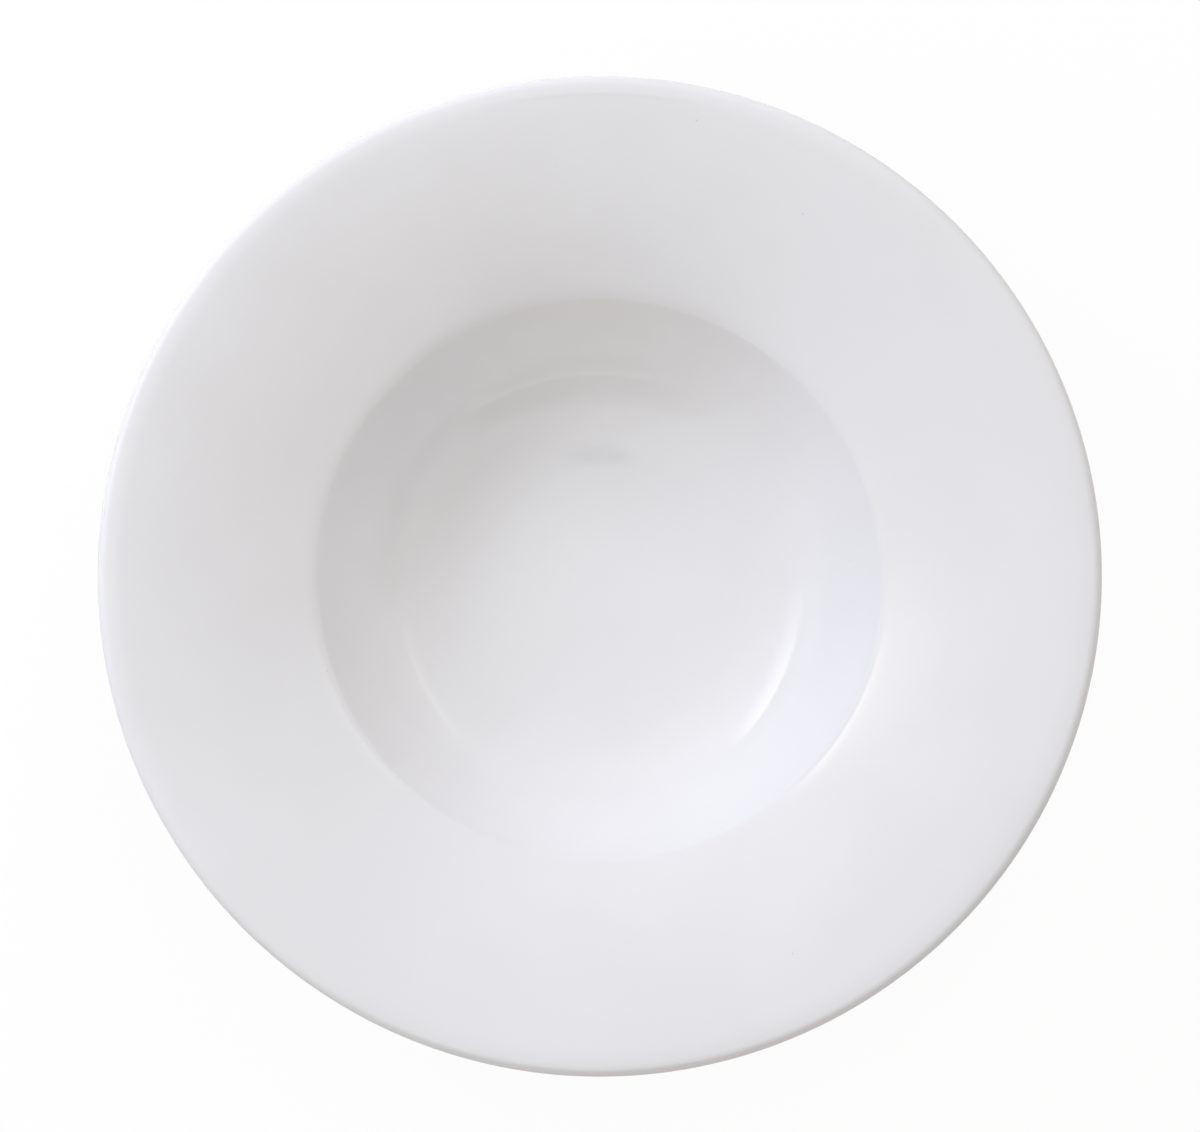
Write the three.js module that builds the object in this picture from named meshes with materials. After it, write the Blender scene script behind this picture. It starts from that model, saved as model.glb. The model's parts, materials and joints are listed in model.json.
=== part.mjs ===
// Deep plate: a wide-rimmed porcelain plate with a bowl-shaped well and a foot ring.
// Sizes are in millimetres and slopes in degrees. The plate stands on z = 0 and is turned about the Z axis.

import * as THREE from 'three';

// Overall size, over the glaze
const PLATE_DIAMETER = 280;
const PLATE_HEIGHT = 57.2;

// Well: a dished floor that runs in one sweep into a steep wall
const SHOULDER_DIAMETER = 157.6;
const WELL_DEPTH = 29.2;
const FLOOR_SWEEP = 53;
const WALL_SLOPE = 56;

// Shoulder: how far its rounding reaches from the corner of wall and rim, down the one and up the other
const SHOULDER_TURN = 1.4;
const SHOULDER_EASE = 4.4;

// Rim: from the shoulder of the well up to the lip
const RIM_INNER_SLOPE = 24;
const RIM_OUTER_SLOPE = 12;

// Lip: a gentle roll up to its crown, a flattened round out to the edge, and a tighter underside
const LIP_ROLL_RADIUS = 20.5;
const LIP_REACH = 2.6;
const LIP_DROP = 1.95;
const LIP_UNDER_RADIUS = 1.8;

// Wall, and the room between the middle of the base and the table
const WALL_THICKNESS = 5;
const BASE_CLEARANCE = 3;

// Foot ring: its bare standing face, the broken edges beside it, and the coves that join it to the base
const FOOT_DIAMETER = 104;
const FOOT_WIDTH = 4.4;
const FOOT_EDGE = 0.7;
const FOOT_COVE = 3;

// Glaze, the height above the table where it stops, and the clearance that stands for its fused bond
const GLAZE_THICKNESS = 0.35;
const GLAZE_LINE = 1.6;
const BOND_GAP = 0.3;

// Facets round the axis, and steps along each stretch of the section
const TURN_FACETS = 48;
const STEPS = {
  well: 9, shoulder: 3, rim: 5, roll: 2, lip: 4, under: 2, backRim: 4, backWall: 5, cove: 2, recess: 3,
};

// Share of the well and of the rim left out behind the shoulder, where their backs would cross
const BACK_TRIM = 0.06;

const GLAZE_COLOUR = 0xf1efed;
const BISCUIT_COLOUR = 0xe6dfd3;

const rad = THREE.MathUtils.degToRad;
const bodyDepth = GLAZE_THICKNESS + BOND_GAP;
const footOutside = FOOT_DIAMETER / 2;
const footInside = footOutside - FOOT_WIDTH;

// A point that lies a given distance from another, in the direction of a slope.
function along(point, distance, slope) {
  const direction = new THREE.Vector2(Math.cos(rad(slope)), Math.sin(rad(slope)));
  return point.clone().addScaledVector(direction, distance);
}

// An arc that starts at a point and turns down from one slope to another.
function fallingArc(start, radius, slope, endSlope) {
  const centre = along(start, radius, slope - 90);
  return new THREE.EllipseCurve(centre.x, centre.y, radius, radius, rad(slope + 90), rad(endSlope + 90), true);
}

// The curves of the face, from the middle of the floor to the underside of the lip.
function faceCurves() {
  const floor = new THREE.Vector2(0, BASE_CLEARANCE + WALL_THICKNESS);
  const floorSweep = new THREE.Vector2(FLOOR_SWEEP, floor.y);
  const shoulder = new THREE.Vector2(SHOULDER_DIAMETER / 2, floor.y + WELL_DEPTH);
  const wallFoot = along(shoulder, -WELL_DEPTH / Math.sin(rad(WALL_SLOPE)), WALL_SLOPE);
  const well = new THREE.CubicBezierCurve(floor, floorSweep, wallFoot, shoulder);
  const corner = along(shoulder, SHOULDER_TURN, WALL_SLOPE);
  const rimStart = along(corner, SHOULDER_EASE, RIM_INNER_SLOPE);
  const edge = new THREE.QuadraticBezierCurve(shoulder, corner, rimStart);

  const crown = new THREE.Vector2(PLATE_DIAMETER / 2 - LIP_REACH, PLATE_HEIGHT);
  const rimEnd = along(crown.clone().setY(crown.y - LIP_ROLL_RADIUS), LIP_ROLL_RADIUS, RIM_OUTER_SLOPE + 90);
  const third = rimStart.distanceTo(rimEnd) / 3;
  const rimSweep = along(rimStart, third, RIM_INNER_SLOPE);
  const rim = new THREE.CubicBezierCurve(rimStart, rimSweep, along(rimEnd, -third, RIM_OUTER_SLOPE), rimEnd);

  const roll = fallingArc(rimEnd, LIP_ROLL_RADIUS, RIM_OUTER_SLOPE, 0);
  const lip = new THREE.EllipseCurve(crown.x, crown.y - LIP_DROP, LIP_REACH, LIP_DROP, Math.PI / 2, 0, true);
  const under = fallingArc(lip.getPoint(1), LIP_UNDER_RADIUS, -90, RIM_OUTER_SLOPE - 180);
  return { well, edge, rim, roll, lip, under };
}

// Points along a stretch of a curve, each with the normal on its left, which points out of the plate.
function stretch(curve, steps, from = 0, to = 1) {
  const points = [];
  for (let step = 0; step <= steps; step += 1) {
    const t = THREE.MathUtils.lerp(from, to, step / steps);
    const tangent = curve.getTangent(t);
    points.push({ place: curve.getPoint(t), normal: new THREE.Vector2(-tangent.y, tangent.x) });
  }
  return points;
}

// The back of a stretch of the face: its points carried through the wall and walked the other way.
function backOf(points) {
  const carried = points.map(({ place, normal }) => ({
    place: place.clone().addScaledVector(normal, -WALL_THICKNESS),
    normal: normal.clone().negate(),
  }));
  return carried.reverse();
}

// How far along the well its back is a given distance from the axis.
function backReach(well, radius) {
  let near = 0;
  let far = 1;
  for (let halving = 0; halving < 40; halving += 1) {
    const middle = (near + far) / 2;
    const [back] = backOf(stretch(well, 1, middle, middle));
    if (back.place.x < radius) near = middle;
    else far = middle;
  }
  return near;
}

// Where the base, carried on straight from a point, meets the side of the foot ring.
function coveCorner({ place, normal }, side) {
  const fall = (side.x - place.x) * normal.x / -normal.y;
  return new THREE.Vector2(side.x, place.y + fall);
}

// The glazed outline over the face, round the lip and down the back to the foot ring.
function coatOutline(face) {
  const side = new THREE.Vector2(footOutside + bodyDepth, GLAZE_LINE);
  const footReach = backReach(face.well, side.x + FOOT_COVE);
  const backWall = backOf(stretch(face.well, STEPS.backWall, footReach, 1 - BACK_TRIM));
  const base = backWall.at(-1);
  const cove = new THREE.QuadraticBezierCurve(base.place, coveCorner(base, side), side);
  return [
    ...stretch(face.well, STEPS.well),
    ...stretch(face.edge, STEPS.shoulder).slice(1),
    ...stretch(face.rim, STEPS.rim).slice(1),
    ...stretch(face.roll, STEPS.roll).slice(1),
    ...stretch(face.lip, STEPS.lip).slice(1),
    ...stretch(face.under, STEPS.under).slice(1),
    ...backOf(stretch(face.rim, STEPS.backRim, BACK_TRIM, 1 - BACK_TRIM)),
    ...backWall,
    ...stretch(cove, STEPS.cove).slice(1),
  ];
}

// The glazed outline of the recess, from inside the foot ring to the axis.
function recessOutline(face) {
  const side = new THREE.Vector2(footInside - bodyDepth, GLAZE_LINE);
  const recessReach = backReach(face.well, side.x - FOOT_COVE);
  const recessFloor = backOf(stretch(face.well, STEPS.recess, 0, recessReach));
  const base = recessFloor[0];
  const cove = new THREE.QuadraticBezierCurve(side, coveCorner(base, side), base.place);
  return [...stretch(cove, STEPS.cove), ...recessFloor.slice(1)];
}

// The section line at a depth below the glazed surface.
function atDepth(outline, depth) {
  return outline.map(({ place, normal }) => place.clone().addScaledVector(normal, -depth));
}

// A section in radius and height, turned about the Z axis.
function turned(name, section, material) {
  const geometry = new THREE.LatheGeometry(section.reverse(), TURN_FACETS).rotateX(Math.PI / 2);
  const mesh = new THREE.Mesh(geometry, material);
  mesh.name = name;
  return mesh;
}

const face = faceCurves();
const coat = coatOutline(face);
const recess = recessOutline(face);
const standingFace = [
  new THREE.Vector2(footOutside, FOOT_EDGE),
  new THREE.Vector2(footOutside - FOOT_EDGE, 0),
  new THREE.Vector2(footInside + FOOT_EDGE, 0),
  new THREE.Vector2(footInside, FOOT_EDGE),
];

const bodySection = [...atDepth(coat, bodyDepth), ...standingFace, ...atDepth(recess, bodyDepth)];
const coatSection = [...atDepth(coat, 0), ...atDepth(coat, GLAZE_THICKNESS).reverse()];
const recessSection = [...atDepth(recess, GLAZE_THICKNESS).reverse(), ...atDepth(recess, 0)];

const biscuit = new THREE.MeshStandardMaterial({ color: BISCUIT_COLOUR, roughness: 0.85, metalness: 0 });
const glaze = new THREE.MeshStandardMaterial({ color: GLAZE_COLOUR, roughness: 0.1, metalness: 0 });

const plate = new THREE.Group();
plate.add(
  turned('porcelain_body', bodySection, biscuit),
  turned('glaze_coat', coatSection, glaze),
  turned('foot_recess_glaze', recessSection, glaze),
);

export default plate;
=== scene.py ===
"""Deep plate: the fired surfaces of a white porcelain plate, and the studio that it is pictured in."""

import json
import math
from collections import namedtuple

import bmesh
import bpy
from bpy.props import FloatProperty, FloatVectorProperty, PointerProperty
from mathutils import Matrix, Vector
from mathutils.geometry import interpolate_bezier


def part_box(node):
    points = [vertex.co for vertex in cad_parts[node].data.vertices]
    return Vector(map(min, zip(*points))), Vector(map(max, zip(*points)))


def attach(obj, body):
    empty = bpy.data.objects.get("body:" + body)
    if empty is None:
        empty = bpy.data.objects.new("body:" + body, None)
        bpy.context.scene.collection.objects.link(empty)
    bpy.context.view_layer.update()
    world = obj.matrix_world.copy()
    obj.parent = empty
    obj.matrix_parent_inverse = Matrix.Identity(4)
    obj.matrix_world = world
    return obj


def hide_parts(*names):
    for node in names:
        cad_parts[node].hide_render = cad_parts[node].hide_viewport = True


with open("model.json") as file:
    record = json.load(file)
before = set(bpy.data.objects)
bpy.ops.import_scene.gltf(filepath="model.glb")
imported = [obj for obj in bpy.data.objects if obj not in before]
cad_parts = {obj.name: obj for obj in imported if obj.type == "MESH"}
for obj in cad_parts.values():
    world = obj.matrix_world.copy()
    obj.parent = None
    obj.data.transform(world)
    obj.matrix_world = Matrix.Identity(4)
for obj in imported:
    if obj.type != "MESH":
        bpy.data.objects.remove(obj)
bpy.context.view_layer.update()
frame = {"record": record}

bl_info = {
    "name": "Deep plate",
    "version": (1, 0, 0),
    "blender": (4, 5, 0),
    "location": "3D View > Sidebar > Deep plate",
    "description": "Makes a glazed porcelain deep plate and a soft studio to picture it in",
    "category": "Add Mesh",
}

MM = 0.001
BODY = "root"

# From the frame: the reach of the glaze, where it stops above the table, and the colours of the finishes
coat_low, coat_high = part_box("glaze_coat")
slot_colours = {material["slot"]: material["base_color"][:3] for material in frame["record"]["materials"]}

# Facets round the axis, and steps along each stretch of the section
TURN_STEPS = 224
WELL_STEPS = 44
SHOULDER_STEPS = 12
RIM_STEPS = 24
ROLL_STEPS = 8
LIP_STEPS = 14
UNDER_STEPS = 8
BEND_STEPS = 8
EDGE_STEPS = 4

# How far the handles of a bend reach, as a share of the gap that it closes
BEND_REACH = 0.4

# Points closer than this are one point, and edges that turn by more than this are sharp
TOUCH = 0.002 * MM
SHARP_TURN = math.radians(40)


# Properties

def length(name, description, millimetres):
    """A length that the user can change."""
    return FloatProperty(name=name, description=description, default=millimetres * MM, min=0, precision=5,
                         subtype="DISTANCE", unit="LENGTH")


def slope(name, description, degrees):
    """An angle that the user can change."""
    return FloatProperty(name=name, description=description, default=math.radians(degrees),
                         subtype="ANGLE", unit="ROTATION")


def colour(name, description, default):
    """A colour that the user can change."""
    return FloatVectorProperty(name=name, description=description, default=default, size=3, min=0, max=1,
                               subtype="COLOR")


def share(name, description, default):
    """A strength or a share that the user can change."""
    return FloatProperty(name=name, description=description, default=default, min=0, subtype="FACTOR")


class PlateSizes(bpy.types.PropertyGroup):
    """Sizes of the plate, over the glaze."""

    diameter: length("Diameter", "Across the lip", (coat_high.x - coat_low.x) / MM)
    height: length("Height", "From the table to the top of the lip", coat_high.z / MM)
    shoulder_diameter: length("Shoulder", "Across the edge where the well ends and the rim begins", 157.6)
    well_depth: length("Well depth", "From the shoulder down to the middle of the floor", 29.2)
    floor_sweep: length("Floor sweep", "How far the floor sweeps out before it turns up", 53)
    wall_slope: slope("Wall slope", "Slope of the wall of the well at the shoulder", 56)
    shoulder_turn: length("Shoulder turn", "Reach of the shoulder's rounding down the wall", 1.4)
    shoulder_ease: length("Shoulder ease", "Reach of the shoulder's rounding along the rim", 4.4)
    rim_inner_slope: slope("Inner rim slope", "Slope of the rim beside the shoulder", 24)
    rim_outer_slope: slope("Outer rim slope", "Slope of the rim beside the lip", 12)
    roll_radius: length("Roll radius", "Radius of the gentle roll up to the crown of the lip", 20.5)
    lip_reach: length("Lip reach", "How far the edge lies outside the crown of the lip", 2.6)
    lip_drop: length("Lip drop", "How far the edge lies below the crown of the lip", 1.95)
    under_radius: length("Underside radius", "Tighter rounding under the edge", 1.8)
    wall: length("Wall", "Thickness from the face to the back", 5)
    base_clearance: length("Base clearance", "Room between the middle of the base and the table", 3)
    foot_diameter: length("Foot diameter", "Across the bare outside of the foot ring", 104)
    foot_width: length("Foot width", "Width of the foot ring", 4.4)
    foot_edge: length("Foot edge", "Rounding of the edges that stand on the table", 0.7)
    foot_cove: length("Foot cove", "Reach of the coves between the foot ring and the base", 3)
    foot_side: length("Foot side", "Straight stretch of glaze at the end of each cove", 0.5)
    glaze_line: length("Glaze line", "Height at which the glaze stops", coat_low.z / MM)
    glaze_depth: length("Glaze depth", "From the surface of the glaze to the porcelain under it", 0.65)
    glaze_seat: length("Glaze seat", "Clearance between the glaze and the porcelain", 0.02)
    glaze_edge: length("Glaze edge", "Rounding of the glaze where it stops", 0.3)
    back_trim: length("Back trim", "Back of the well and of the rim given up to the bends that join them", 4)


class PlateFinish(bpy.types.PropertyGroup):
    """Colours and surface detail of the glaze and of the bare porcelain."""

    glaze: colour("Glaze", "White of the glazed porcelain", slot_colours["glaze"])
    cloud: colour("Cloud", "Fainter white of the clouds in the glaze", (0.786, 0.78, 0.79))
    cloud_size: length("Cloud size", "Width of a cloud", 45)
    speck: colour("Speck", "Colour of the pinhead specks that firing leaves", (0.42, 0.37, 0.32))
    speck_spacing: length("Speck spacing", "Width of the cells that may hold a speck", 17)
    speck_radius: length("Speck radius", "Radius of the largest specks", 0.2)
    gloss: share("Gloss", "Roughness of the glaze where it is smoothest", 0.03)
    haze: share("Haze", "Roughness of the glaze where it is dullest", 0.06)
    wave_size: length("Wave size", "Width of the slow waves in the glaze", 28)
    wave_height: length("Wave height", "Height of the slow waves in the glaze", 0.012)
    peel_size: length("Peel size", "Width of the fine ripple in the glaze", 3)
    peel_height: length("Peel height", "Height of the fine ripple in the glaze", 0.0006)
    biscuit: colour("Biscuit", "Bare porcelain of the standing ring", slot_colours["biscuit"])
    scuff: colour("Scuff", "Grey that tables and stacking rub into the standing ring", (0.46, 0.44, 0.41))
    scuff_size: length("Scuff size", "Width of a scuff", 2.5)
    scuff_height: length("Scuff height", "Height above the table up to which the ring is scuffed", 0.25)
    grain_size: length("Grain size", "Width of a grain of the bare porcelain", 0.35)
    grain_height: length("Grain height", "Height of a grain of the bare porcelain", 0.02)
    matte: share("Matte", "Roughness of the bare porcelain", 0.85)


class PlateStudio(bpy.types.PropertyGroup):
    """Floor, tints of the light, reflected cards and camera."""

    floor_radius: length("Floor radius", "Radius of the round floor", 6000)
    floor: colour("Floor", "Pale floor as it is seen and reflected", (0.95, 0.95, 0.95))
    floor_bounce: colour("Floor bounce", "Floor as it sends soft light back up", (0.6, 0.6, 0.6))
    floor_glow: share("Floor glow", "Share of the open floor that is plain white whatever falls on it", 0.94)
    contact_reach: length("Contact reach", "How near the plate the floor begins to show more shadow", 45)
    sky: colour("Sky", "Tint of the soft light from above and from the left", (0.985, 0.99, 1.0))
    window: colour("Window", "Cool tint of the key lamp", (0.806, 0.845, 1.0))
    room: colour("Room", "Warm tint of the light that fills the shade", (1.0, 0.935, 0.835))
    card_reach: length("Card reach", "From the axis to the cards that the glaze reflects", 3000)
    view_distance: length("View distance", "From the camera to the point it looks at", 2400)
    view_tilt: slope("View tilt", "How far the camera leans towards the viewer from straight above", 4.9)
    view_width: length("View width", "Width of the picture at the point the camera looks at", 334.75)
    view_right: length("View right", "Distance of that point to the right of the axis", 0.07)
    view_back: length("View back", "Distance of that point behind the axis", 2.32)
    view_height: length("View height", "Height of that point above the table", 53.7)
    shade_radius: length("Shade radius", "Radius of the dark camera that the glaze reflects", 110)


# Section of the plate: points hold the distance from the axis in x and the height in z

def heading(angle):
    """The direction of a slope, outwards and upwards."""
    return Vector((math.cos(angle), 0, math.sin(angle)))


def point(radius, height):
    """A point of the section."""
    return Vector((radius, 0, height))


def falling_arc(start, radius, angle, end_angle, steps):
    """An arc that leaves a point at one slope and turns down to another."""
    centre = start + radius * heading(angle - math.pi / 2)
    turns = [angle + (end_angle - angle) * step / steps for step in range(steps + 1)]
    return [centre + radius * heading(turn + math.pi / 2) for turn in turns]


def rounded_corner(start, corner, end, steps):
    """A quadratic curve, in its cubic form, that leaves and ends along the two sides of a corner."""
    leaving = start.lerp(corner, 2 / 3)
    arriving = end.lerp(corner, 2 / 3)
    return interpolate_bezier(start, leaving, arriving, end, steps + 1)


def quarter_round(crown, reach, drop, steps):
    """A quarter of an ellipse, from its level crown out and down to its upright edge."""
    turns = [math.pi / 2 * step / steps for step in range(steps + 1)]
    return [crown + point(reach * math.sin(turn), drop * (math.cos(turn) - 1)) for turn in turns]


def carried(line, depth):
    """A line moved into the wall, which lies on its right hand."""
    moved = []
    for index, place in enumerate(line):
        along = line[min(index + 1, len(line) - 1)] - line[max(index - 1, 0)]
        if place.x < TOUCH:
            along.z = 0
        moved.append(place + depth * Vector((along.z, 0, -along.x)).normalized())
    return moved


def back_of(line, wall):
    """The back of a stretch of the face, walked the other way."""
    return carried(line, wall)[::-1]


def bend(before, after):
    """A smooth curve from the end of one line to the start of the next, without its first point."""
    reach = BEND_REACH * (after[0] - before[-1]).length
    leaving = before[-1] + reach * (before[-1] - before[-2]).normalized()
    arriving = after[0] - reach * (after[1] - after[0]).normalized()
    return interpolate_bezier(before[-1], leaving, arriving, after[0], BEND_STEPS + 1)[1:]


def joined(*stretches):
    """One line through several stretches, with a bend wherever two of them don't meet."""
    line = list(stretches[0])
    for stretch in stretches[1:]:
        if (stretch[0] - line[-1]).length > TOUCH:
            line += bend(line, stretch)
        line += stretch[1:]
    return line


def well_line(sizes):
    """The dished floor and the wall of the well, from the axis to the shoulder."""
    floor = point(0, sizes.base_clearance + sizes.wall)
    floor_sweep = point(sizes.floor_sweep, floor.z)
    shoulder = point(sizes.shoulder_diameter / 2, floor.z + sizes.well_depth)
    wall_foot = shoulder - sizes.well_depth / math.sin(sizes.wall_slope) * heading(sizes.wall_slope)
    return interpolate_bezier(floor, floor_sweep, wall_foot, shoulder, WELL_STEPS + 1)


def rim_line(sizes, start):
    """The rim, from the shoulder to where the lip begins to roll over."""
    roll_centre = point(sizes.diameter / 2 - sizes.lip_reach, sizes.height - sizes.roll_radius)
    end = roll_centre + sizes.roll_radius * heading(sizes.rim_outer_slope + math.pi / 2)
    third = (end - start).length / 3
    leaving = start + third * heading(sizes.rim_inner_slope)
    arriving = end - third * heading(sizes.rim_outer_slope)
    return interpolate_bezier(start, leaving, arriving, end, RIM_STEPS + 1)


def coat_line(sizes):
    """The glazed surface over the face, round the lip and down the back to the foot ring."""
    well = well_line(sizes)
    corner = well[-1] + sizes.shoulder_turn * heading(sizes.wall_slope)
    rim_start = corner + sizes.shoulder_ease * heading(sizes.rim_inner_slope)
    shoulder = rounded_corner(well[-1], corner, rim_start, SHOULDER_STEPS)
    rim = rim_line(sizes, rim_start)
    roll = falling_arc(rim[-1], sizes.roll_radius, sizes.rim_outer_slope, 0, ROLL_STEPS)
    lip = quarter_round(roll[-1], sizes.lip_reach, sizes.lip_drop, LIP_STEPS)
    inwards = sizes.rim_outer_slope - math.pi
    under = falling_arc(lip[-1], sizes.under_radius, -math.pi / 2, inwards, UNDER_STEPS)

    side = sizes.foot_diameter / 2 + sizes.glaze_depth
    foot_side = [point(side, sizes.glaze_line + sizes.foot_side), point(side, sizes.glaze_line)]
    rim_ends = (rim[0].x + sizes.back_trim, rim[-1].x - sizes.back_trim)
    back_rim = back_of([place for place in rim if rim_ends[0] < place.x < rim_ends[1]], sizes.wall)
    wall_top = well[-1].z - sizes.back_trim
    back_wall = back_of([place for place in well if place.z < wall_top], sizes.wall)
    back_wall = [place for place in back_wall if place.x > side + sizes.foot_cove]
    return joined(well, shoulder, rim, roll, lip, under, back_rim, back_wall, foot_side)


def recess_line(sizes):
    """The glazed surface of the recess, from inside the foot ring to the axis."""
    side = sizes.foot_diameter / 2 - sizes.foot_width - sizes.glaze_depth
    foot_side = [point(side, sizes.glaze_line), point(side, sizes.glaze_line + sizes.foot_side)]
    base = back_of(well_line(sizes), sizes.wall)
    return joined(foot_side, [place for place in base if place.x < side - sizes.foot_cove])


# Pieces

def turned(section):
    """A section that begins and ends on the axis, turned into a closed solid."""
    bm = bmesh.new()
    corners = [bm.verts.new(place) for place in section]
    sides = [bm.edges.new(pair) for pair in zip(corners, corners[1:])]
    bmesh.ops.spin(bm, geom=corners + sides, cent=(0, 0, 0), axis=(0, 0, 1), angle=math.tau,
                   steps=TURN_STEPS, use_merge=True)
    bmesh.ops.remove_doubles(bm, verts=bm.verts, dist=TOUCH)
    bmesh.ops.recalc_face_normals(bm, faces=bm.faces)
    return bm


def soften_ring(bm, place, width):
    """Rounds the ring of edges that a point of the section makes."""
    def on_ring(vert):
        return (point(vert.co.xy.length, vert.co.z) - place).length < TOUCH

    ring = [edge for edge in bm.edges if all(on_ring(vert) for vert in edge.verts)]
    bmesh.ops.bevel(bm, geom=ring, offset=width, offset_type="OFFSET", affect="EDGES", segments=EDGE_STEPS,
                    profile=0.5, material=-1)


def new_object(bm, name, material):
    """An object made of a finished bmesh, with smooth faces and sharp corners."""
    mesh = bpy.data.meshes.new(name)
    bm.to_mesh(mesh)
    bm.free()
    mesh.shade_smooth()
    mesh.set_sharp_from_angle(angle=SHARP_TURN)
    mesh.materials.append(material)
    made = bpy.data.objects.new(name, mesh)
    bpy.context.scene.collection.objects.link(made)
    return made


def dress(made, node):
    """Puts a piece in the place of a node of the frame: hangs it on the plate's body and hides that node."""
    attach(made, BODY)
    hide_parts(node)


# Materials

# Glaze: its refraction, the ranges of noise that its clouds and its haze span, the width of the haze as a
# share of a cloud's, and the share of a speck's radius that has its full colour
GLAZE_IOR = 1.5
CLOUD_RANGE = (0.35, 0.65)
HAZE_RANGE = (0.3, 0.7)
HAZE_WIDTH = 0.6
SPECK_CORE = 0.4

# Bare porcelain: the ranges of noise that its grain and its scuffs span, the brightness of its duller
# grains, the share of the scuffed height that is rubbed most, the most that a scuff covers, and the share of
# the roughness that it keeps
GRAIN_RANGE = (0.35, 0.65)
SCUFF_RANGE = (0.5, 0.68)
DULL_GRAIN = 0.93
SCUFF_FOOT = 0.2
SCUFF_COVER = 0.7
SCUFF_POLISH = 0.7


def new_material(name):
    """An empty node material, and its tree."""
    material = bpy.data.materials.new(name)
    material.use_nodes = True
    material.node_tree.nodes.clear()
    return material, material.node_tree


def add(tree, kind, inputs=None, **settings):
    """A shader node with its settings, whose inputs are set to values or linked to other nodes' outputs."""
    made = tree.nodes.new("ShaderNode" + kind)
    for name, value in settings.items():
        setattr(made, name, value)
    for name, value in (inputs or {}).items():
        fill(tree, next(socket for socket in made.inputs if socket.name == name and socket.enabled), value)
    return made


def fill(tree, socket, value):
    """Sets an input to a number, vector or colour, or links it to an output."""
    if isinstance(value, bpy.types.NodeSocket):
        tree.links.new(value, socket)
    elif socket.type == "RGBA":
        socket.default_value = (*value, 1)
    else:
        socket.default_value = value


def calculate(tree, operation, *values, kind="Math", result="Value"):
    """The result of a Math or VectorMath node."""
    made = add(tree, kind, operation=operation)
    for socket, value in zip(made.inputs, values):
        fill(tree, socket, value)
    return made.outputs[result]


def spread(tree, value, low, high, to_low=0.0, to_high=1.0):
    """A value stretched smoothly from one range to another."""
    inputs = {"Value": value, "From Min": low, "From Max": high, "To Min": to_low, "To Max": to_high}
    return add(tree, "MapRange", inputs, interpolation_type="SMOOTHSTEP").outputs["Result"]


def noise(tree, place, size, detail):
    """Soft noise whose lumps are about as wide as a size, with some octaves of finer detail."""
    inputs = {"Vector": place, "Scale": 1 / size, "Detail": detail}
    return add(tree, "TexNoise", inputs).outputs["Fac"]


def mixed(tree, factor, first, second):
    """One colour fading into another."""
    made = add(tree, "Mix", {"Factor": factor, "A": first, "B": second}, data_type="RGBA")
    return next(socket for socket in made.outputs if socket.enabled)


def layered(tree, factor, under, over):
    """One shader fading into another that covers it."""
    made = add(tree, "MixShader", {"Fac": factor})
    tree.links.new(under.outputs[0], made.inputs[1])
    tree.links.new(over.outputs[0], made.inputs[2])
    return made


def between(tree, value, low, high, low_fade, high_fade):
    """One between two bounds, fading smoothly to nought across each of them."""
    rising = spread(tree, value, low - low_fade / 2, low + low_fade / 2)
    falling = spread(tree, value, high - high_fade / 2, high + high_fade / 2, 1, 0)
    return calculate(tree, "MULTIPLY", rising, falling)


def bump(tree, height, distance, normal=None):
    """The normal of a surface that a texture raises by up to a distance."""
    inputs = {"Height": height, "Distance": distance}
    if normal:
        inputs["Normal"] = normal
    return add(tree, "Bump", inputs).outputs["Normal"]


def finish_with(tree, shader):
    """Sends a shader to the output of its tree."""
    tree.links.new(shader.outputs[0], add(tree, "OutputMaterial").inputs["Surface"])


def glaze_material(finish):
    """Clear glaze on white porcelain: faint clouds, a few pinhead specks, and slow waves in the gloss."""
    if "clear_glaze" in bpy.data.materials:
        return bpy.data.materials["clear_glaze"]
    material, tree = new_material("clear_glaze")
    place = add(tree, "TexCoord").outputs["Object"]

    clouds = spread(tree, noise(tree, place, finish.cloud_size, detail=2), *CLOUD_RANGE)
    white = mixed(tree, clouds, finish.glaze, finish.cloud)
    cells = add(tree, "TexVoronoi", {"Vector": place, "Scale": 1 / finish.speck_spacing})
    reach = finish.speck_radius / finish.speck_spacing
    specks = spread(tree, cells.outputs["Distance"], SPECK_CORE * reach, reach, 1, 0)

    dull = noise(tree, place, HAZE_WIDTH * finish.cloud_size, detail=4)
    waves = bump(tree, noise(tree, place, finish.wave_size, detail=1), finish.wave_height)
    ripple = bump(tree, noise(tree, place, finish.peel_size, detail=1), finish.peel_height, waves)
    finish_with(tree, add(tree, "BsdfPrincipled", {
        "Base Color": mixed(tree, specks, white, finish.speck),
        "Roughness": spread(tree, dull, *HAZE_RANGE, finish.gloss, finish.haze),
        "IOR": GLAZE_IOR,
        "Normal": ripple,
    }))
    return material


def biscuit_material(finish):
    """Bare fired porcelain: matte and finely grained, with grey scuffs where it stands."""
    material, tree = new_material("bare_biscuit")
    place = add(tree, "TexCoord").outputs["Object"]
    height = add(tree, "SeparateXYZ", {"Vector": place}).outputs["Z"]

    grain = noise(tree, place, finish.grain_size, detail=3)
    duller = [DULL_GRAIN * channel for channel in finish.biscuit]
    clay = mixed(tree, spread(tree, grain, *GRAIN_RANGE), finish.biscuit, duller)
    standing = spread(tree, height, SCUFF_FOOT * finish.scuff_height, finish.scuff_height, 1, 0)
    rubbed = spread(tree, noise(tree, place, finish.scuff_size, detail=5), *SCUFF_RANGE, 0, SCUFF_COVER)
    scuffed = calculate(tree, "MULTIPLY", standing, rubbed)
    finish_with(tree, add(tree, "BsdfPrincipled", {
        "Base Color": mixed(tree, scuffed, clay, finish.scuff),
        "Roughness": spread(tree, scuffed, 0, SCUFF_COVER, finish.matte, SCUFF_POLISH * finish.matte),
        "Normal": bump(tree, grain, finish.grain_height),
    }))
    return material


# Studio

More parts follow.
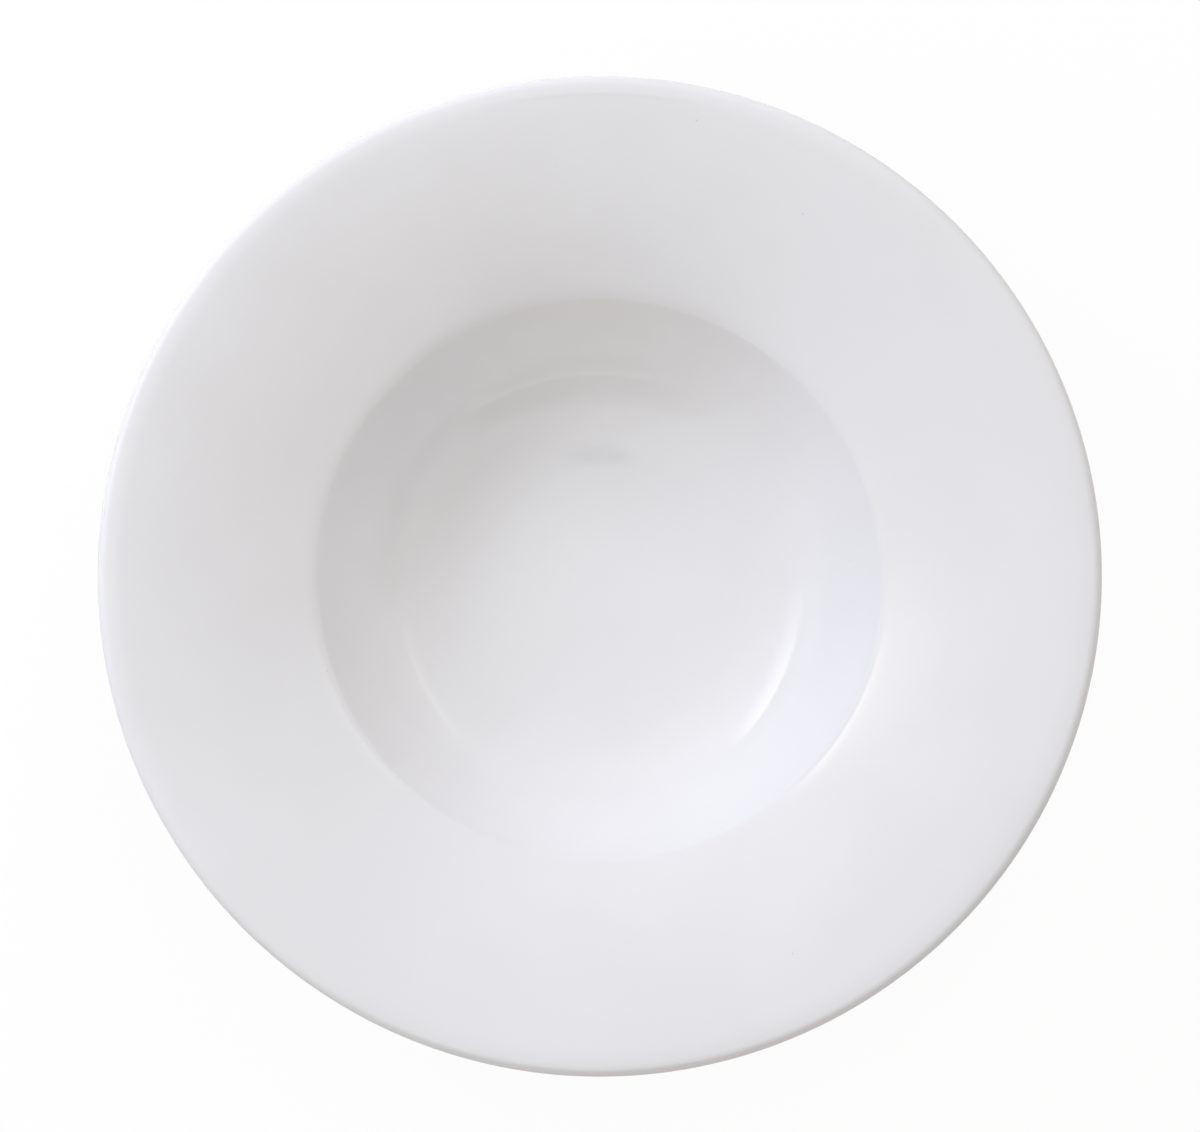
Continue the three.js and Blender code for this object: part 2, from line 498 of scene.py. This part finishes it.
Softbox = namedtuple("Softbox", "name tint turn rise distance width height glow")
Glow = namedtuple("Glow", "tint turn rise focus level")
Card = namedtuple("Card", "name turn across up glow fades")

WHITE = (1, 1, 1)
CAMERA_BLACK = (0.03, 0.03, 0.03)

# Turn is degrees round from the right, and rise is degrees above the table. Distance, width and height are
# metres, and glow is the brightness of the cloth. All the lamps face one point above the floor of the well.
SOFTBOXES = (
    Softbox("key_light", "window", turn=138, rise=26, distance=1.2, width=0.5, height=0.54, glow=10.35),
    Softbox("back_light", "room", turn=70, rise=22, distance=1.2, width=0.6, height=0.35, glow=4.95),
    Softbox("left_light", "sky", turn=190, rise=26, distance=1.2, width=0.6, height=0.35, glow=3.55),
)
LAMP_AIM = Vector((0, 0, 30 * MM))

# Parts of the soft sky: overhead, behind on the right, and on the viewer's side. Focus makes a glow smaller.
SKY_GLOWS = (
    Glow("sky", turn=0, rise=90, focus=4, level=0.515),
    Glow("sky", turn=45, rise=60, focus=6, level=1.03),
    Glow("room", turn=270, rise=30, focus=4, level=0.82),
)

# Cards stand in line with the sides of the room, at one reach. Their bounds across and up, and the widths of
# the fades at their sides, their foot and their head, are shares of that reach.
CARDS = (
    Card("left_panel", turn=180, across=(-1.15, -0.3), up=(0.67, 1.05), glow=3.6, fades=(0.65, 0.02, 0.75)),
    Card("left_valance", turn=180, across=(-1.6, -0.55), up=(0.2, 0.66), glow=0.46, fades=(0.4, 0.04, 0.02)),
    Card("left_corner", turn=180, across=(0.5, 1.3), up=(0.15, 0.9), glow=0.8, fades=(0.4, 0.1, 0.4)),
    Card("right_panel", turn=0, across=(0.3, 1.3), up=(0.7, 0.9), glow=2.2, fades=(0.6, 0.02, 0.5)),
    Card("right_curtain", turn=0, across=(-1.2, 0.1), up=(0.1, 0.7), glow=0.5, fades=(0.5, 0.06, 0.6)),
    Card("front_opening", turn=270, across=(-0.6, 0.95), up=(0.55, 1.4), glow=0.18, fades=(0.6, 0.02, 0.6)),
    Card("front_valance", turn=270, across=(-0.5, 0.7), up=(0.1, 0.45), glow=0.5, fades=(0.4, 0.06, 0.04)),
    Card("back_curtain", turn=90, across=(-0.3, 0.8), up=(0.1, 0.7), glow=0.45, fades=(0.4, 0.1, 0.6)),
)

# Rays that test how near the plate is to a point of the floor, and how far the camera sees, in metres
NEARNESS_RAYS = 4
SIGHT_LIMIT = 100


def towards(turn, rise):
    """The direction of a lamp or of a part of the sky."""
    return Vector((math.cos(turn) * math.cos(rise), math.sin(turn) * math.cos(rise), math.sin(rise)))


def seen(tree):
    """One for what the camera sees, directly, in a gloss or through glass, and nought for soft light."""
    path = add(tree, "LightPath").outputs
    mirrored = calculate(tree, "MAXIMUM", path["Is Glossy Ray"], path["Is Transmission Ray"])
    return calculate(tree, "MAXIMUM", path["Is Camera Ray"], mirrored)


def floor_material(studio):
    """Pale floor that is seen nearly white, and keeps the plate's shadow, most of all close under it."""
    material, tree = new_material("pale_floor")
    sight = seen(tree)
    cloth = add(tree, "BsdfDiffuse", {"Color": mixed(tree, sight, studio.floor_bounce, studio.floor)})
    glow = add(tree, "Emission", {"Color": WHITE, "Strength": 1})
    nearness = add(tree, "AmbientOcclusion", {"Distance": studio.contact_reach}, samples=NEARNESS_RAYS)
    white = calculate(tree, "MULTIPLY", nearness.outputs["AO"], studio.floor_glow)
    finish_with(tree, layered(tree, calculate(tree, "MULTIPLY", sight, white), cloth, glow))
    return material


def shade_material():
    """The black of the camera."""
    material, tree = new_material("camera_black")
    finish_with(tree, add(tree, "BsdfDiffuse", {"Color": CAMERA_BLACK}))
    return material


def card_material(card):
    """Cloth of an even glow, which fades out across its sides, its foot and its head."""
    material, tree = new_material(card.name)
    place = add(tree, "SeparateXYZ", {"Vector": add(tree, "TexCoord").outputs["Object"]}).outputs
    side_fade, low_fade, high_fade = card.fades
    across = between(tree, place["X"], *card.across, side_fade, side_fade)
    upwards = between(tree, place["Y"], *card.up, low_fade, high_fade)
    glow = add(tree, "Emission", {"Color": WHITE, "Strength": card.glow})
    cover = calculate(tree, "MULTIPLY", across, upwards)
    finish_with(tree, layered(tree, cover, add(tree, "BsdfTransparent"), glow))
    return material


def only_reflected(made):
    """Keeps a part of the stage out of sight and out of the soft light, so that only a gloss shows it."""
    made.visible_camera = False
    made.visible_diffuse = False
    made.visible_transmission = False
    made.visible_shadow = False


def add_floor(studio):
    """A round floor under the foot ring."""
    bm = bmesh.new()
    bmesh.ops.create_circle(bm, cap_ends=True, radius=studio.floor_radius, segments=TURN_STEPS)
    new_object(bm, "floor", floor_material(studio))


def add_sky(studio):
    """A soft sky of a few wide glows, which is plain white to the camera and in the gloss."""
    world = bpy.data.worlds.new("studio_sky")
    world.use_nodes = True
    tree = world.node_tree
    tree.nodes.clear()
    view = add(tree, "TexCoord").outputs["Generated"]
    light = (0, 0, 0)
    for glow in SKY_GLOWS:
        away = towards(math.radians(glow.turn), math.radians(glow.rise))
        facing = calculate(tree, "DOT_PRODUCT", view, away, kind="VectorMath")
        lobe = calculate(tree, "EXPONENT", calculate(tree, "MULTIPLY_ADD", facing, glow.focus, -glow.focus))
        tint = [glow.level * channel for channel in getattr(studio, glow.tint)]
        light = calculate(tree, "MULTIPLY_ADD", lobe, tint, light, kind="VectorMath", result="Vector")
    soft = add(tree, "Background", {"Color": light, "Strength": 1})
    white = add(tree, "Background", {"Color": WHITE, "Strength": 1})
    shown = layered(tree, seen(tree), soft, white)
    tree.links.new(shown.outputs[0], add(tree, "OutputWorld").inputs["Surface"])
    bpy.context.scene.world = world


def add_softbox(box, tint):
    """A rectangular lamp that faces the plate, with the power that its brightness and its area need."""
    light = bpy.data.lights.new(box.name, "AREA")
    light.shape = "RECTANGLE"
    light.size = box.width
    light.size_y = box.height
    light.energy = math.pi * box.width * box.height * box.glow
    light.color = tint
    lamp = bpy.data.objects.new(box.name, light)
    away = towards(math.radians(box.turn), math.radians(box.rise))
    lamp.location = LAMP_AIM + box.distance * away
    lamp.rotation_euler = away.to_track_quat("Z", "Y").to_euler()
    lamp.visible_camera = False
    lamp.visible_glossy = False
    bpy.context.scene.collection.objects.link(lamp)


def add_card(card, reach):
    """A card upright on one side of the plate, wide enough for its fades."""
    side_fade, low_fade, high_fade = card.fades
    start = card.across[0] - side_fade / 2
    end = card.across[1] + side_fade / 2
    foot = card.up[0] - low_fade / 2
    head = card.up[1] + high_fade / 2
    middle = Matrix.Translation(((start + end) / 2, (foot + head) / 2, 0))
    size = Matrix.Diagonal((end - start, head - foot, 1, 1))
    bm = bmesh.new()
    bmesh.ops.create_grid(bm, x_segments=1, y_segments=1, size=0.5, matrix=middle @ size)
    made = new_object(bm, card.name, card_material(card))
    upright = Matrix.Rotation(math.pi / 2, 4, "Z") @ Matrix.Rotation(math.pi / 2, 4, "X")
    side = Matrix.Rotation(math.radians(card.turn), 4, "Z")
    made.matrix_world = side @ Matrix.Translation((reach, 0, 0)) @ upright @ Matrix.Scale(reach, 4)
    only_reflected(made)


def add_camera(studio):
    """The camera, nearly straight above, and the dark round that the floor of the well mirrors."""
    aim = Vector((studio.view_right, studio.view_back, studio.view_height))
    lean = Matrix.Rotation(studio.view_tilt, 4, "X")
    place = aim + lean @ Vector((0, 0, studio.view_distance))
    lens = bpy.data.cameras.new("camera")
    lens.sensor_fit = "HORIZONTAL"
    lens.lens = lens.sensor_width * studio.view_distance / studio.view_width
    lens.clip_end = SIGHT_LIMIT
    camera = bpy.data.objects.new("camera", lens)
    camera.location = place
    camera.rotation_euler = (studio.view_tilt, 0, 0)
    bpy.context.scene.collection.objects.link(camera)
    bpy.context.scene.camera = camera

    bm = bmesh.new()
    bmesh.ops.create_circle(bm, cap_ends=True, radius=studio.shade_radius, segments=TURN_STEPS,
                            matrix=Matrix.Translation(place) @ lean)
    only_reflected(new_object(bm, "camera_shade", shade_material()))


# Operators

class DEEP_PLATE_OT_stage(bpy.types.Operator):
    """Sets up the floor, the soft sky, the softboxes, the reflected cards and the camera"""

    bl_idname = "deep_plate.stage"
    bl_label = "Stage"

    def execute(self, context):
        studio = context.scene.deep_plate_studio
        context.scene.view_settings.view_transform = "Standard"
        add_floor(studio)
        add_sky(studio)
        for box in SOFTBOXES:
            add_softbox(box, getattr(studio, box.tint))
        for card in CARDS:
            add_card(card, studio.card_reach)
        add_camera(studio)
        return {"FINISHED"}


class DEEP_PLATE_OT_bare_porcelain(bpy.types.Operator):
    """Makes the fired body, whose only bare surface is the ring that it stands on"""

    bl_idname = "deep_plate.bare_porcelain"
    bl_label = "Bare porcelain"

    def execute(self, context):
        sizes = context.scene.deep_plate_sizes
        outside = point(sizes.foot_diameter / 2, 0)
        inside = point(sizes.foot_diameter / 2 - sizes.foot_width, 0)
        face = carried(coat_line(sizes), sizes.glaze_depth)
        recess = carried(recess_line(sizes), sizes.glaze_depth)
        bm = turned([*face, outside, inside, *recess])
        for corner in (outside, inside):
            soften_ring(bm, corner, sizes.foot_edge)
        made = new_object(bm, "bare_porcelain", biscuit_material(context.scene.deep_plate_finish))
        dress(made, "porcelain_body")
        return {"FINISHED"}


class DEEP_PLATE_OT_face_and_back_glaze(bpy.types.Operator):
    """Makes the glaze over the face, round the lip and down the back to the foot ring"""

    bl_idname = "deep_plate.face_and_back_glaze"
    bl_label = "Face and back glaze"

    def execute(self, context):
        sizes = context.scene.deep_plate_sizes
        outline = coat_line(sizes)
        bm = turned([*outline, *carried(outline, sizes.glaze_depth - sizes.glaze_seat)[::-1]])
        soften_ring(bm, outline[-1], sizes.glaze_edge)
        made = new_object(bm, "face_and_back_glaze", glaze_material(context.scene.deep_plate_finish))
        dress(made, "glaze_coat")
        return {"FINISHED"}


class DEEP_PLATE_OT_recess_glaze(bpy.types.Operator):
    """Makes the patch of glaze inside the foot ring"""

    bl_idname = "deep_plate.recess_glaze"
    bl_label = "Recess glaze"

    def execute(self, context):
        sizes = context.scene.deep_plate_sizes
        outline = recess_line(sizes)
        bm = turned([*carried(outline, sizes.glaze_depth - sizes.glaze_seat)[::-1], *outline])
        soften_ring(bm, outline[0], sizes.glaze_edge)
        made = new_object(bm, "recess_glaze", glaze_material(context.scene.deep_plate_finish))
        dress(made, "foot_recess_glaze")
        return {"FINISHED"}


# Sidebar and registration

STEPS = (
    DEEP_PLATE_OT_stage,
    DEEP_PLATE_OT_bare_porcelain,
    DEEP_PLATE_OT_face_and_back_glaze,
    DEEP_PLATE_OT_recess_glaze,
)
PROPERTY_GROUPS = {
    "deep_plate_sizes": PlateSizes,
    "deep_plate_finish": PlateFinish,
    "deep_plate_studio": PlateStudio,
}


class DEEP_PLATE_PT_sidebar(bpy.types.Panel):
    """Lists the steps that make the plate, and what can be changed"""

    bl_idname = "DEEP_PLATE_PT_sidebar"
    bl_label = "Deep plate"
    bl_space_type = "VIEW_3D"
    bl_region_type = "UI"
    bl_category = "Deep plate"

    def draw(self, context):
        for step in STEPS:
            self.layout.operator(step.bl_idname)
        for name in PROPERTY_GROUPS:
            column = self.layout.column(align=True)
            group = getattr(context.scene, name)
            for setting in group.__annotations__:
                column.prop(group, setting)


CLASSES = (*PROPERTY_GROUPS.values(), *STEPS, DEEP_PLATE_PT_sidebar)


def register():
    """Adds the classes and the scene's settings to Blender."""
    for kind in CLASSES:
        bpy.utils.register_class(kind)
    for name, group in PROPERTY_GROUPS.items():
        setattr(bpy.types.Scene, name, PointerProperty(type=group))


def unregister():
    """Takes the settings and the classes out again."""
    for name in PROPERTY_GROUPS:
        delattr(bpy.types.Scene, name)
    for kind in reversed(CLASSES):
        bpy.utils.unregister_class(kind)


def main():
    """Makes the stage and the plate."""
    register()
    bpy.ops.deep_plate.stage()
    bpy.ops.deep_plate.bare_porcelain()
    bpy.ops.deep_plate.face_and_back_glaze()
    bpy.ops.deep_plate.recess_glaze()


if __name__ == "__main__":
    main()
